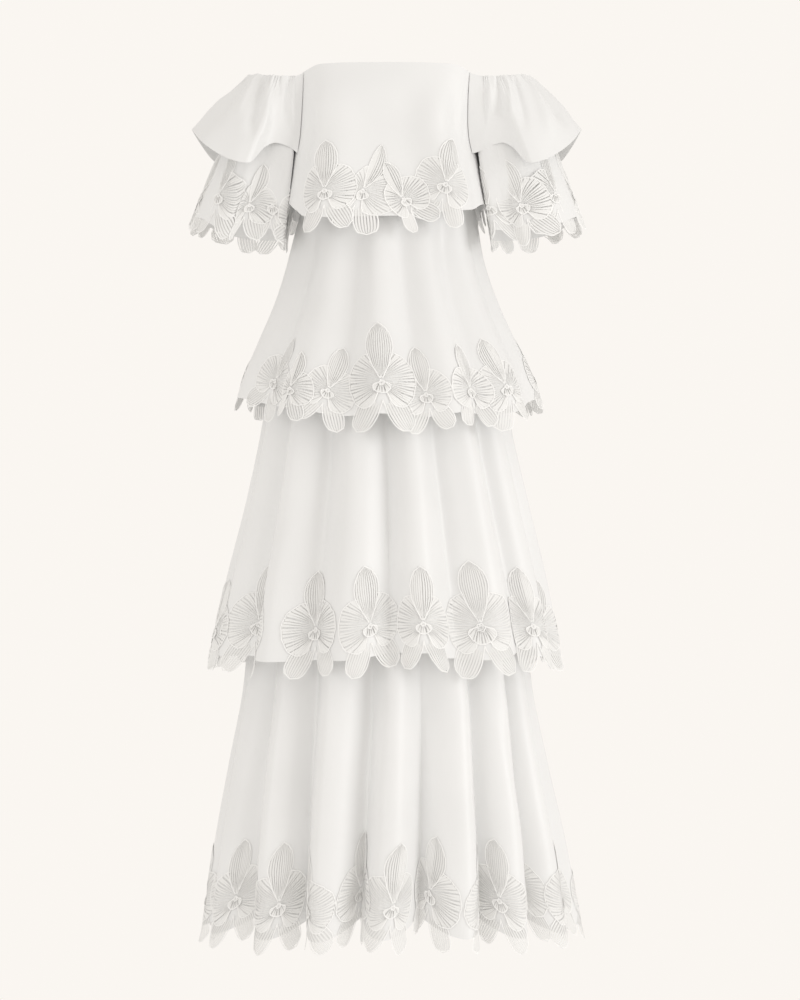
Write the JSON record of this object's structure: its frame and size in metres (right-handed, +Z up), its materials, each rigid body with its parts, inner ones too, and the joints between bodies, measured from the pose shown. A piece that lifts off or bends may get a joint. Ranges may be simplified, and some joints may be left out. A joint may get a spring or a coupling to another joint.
{
  "type": "maxi dress",
  "caption": "Off-the-shoulder maxi dress in ivory satin: loose popover bodice, sleeves with a ruffle over a flounce, tiered flared skirt, and orchid lace along every hem",
  "frame": {"origin": "on the body's axis at the bust, 60 mm below the straight neckline, where the wearer holds the dress up", "axes": "+Z up, the front of the dress faces -Y, +X is to the right of someone who looks at the front"},
  "size_m": [0.6169, 0.5036, 1.34],
  "materials": {
    "satin": "smooth ivory-white satin-faced faille with a soft sheen",
    "lace": "matt white ribbed embroidery lace with corded outlines"
  },
  "bodies": {
    "root": {"bodice_front": "satin", "bodice_back": "satin", "popover_front": "satin", "popover_back": "satin", "tier_1_front": "satin", "tier_1_back": "satin", "tier_2_front": "satin", "tier_2_back": "satin", "tier_3_front": "satin", "tier_3_back": "satin", "sleeve_left": "satin", "sleeve_right": "satin", "ruffle_left": "satin", "ruffle_right": "satin", "popover_front_lace": "lace", "popover_back_lace": "lace", "tier_1_front_lace": "lace", "tier_1_back_lace": "lace", "tier_2_front_lace": "lace", "tier_2_back_lace": "lace", "tier_3_front_lace": "lace", "tier_3_back_lace": "lace", "sleeve_left_lace": "lace", "sleeve_right_lace": "lace"}
  },
  "joints": []
}
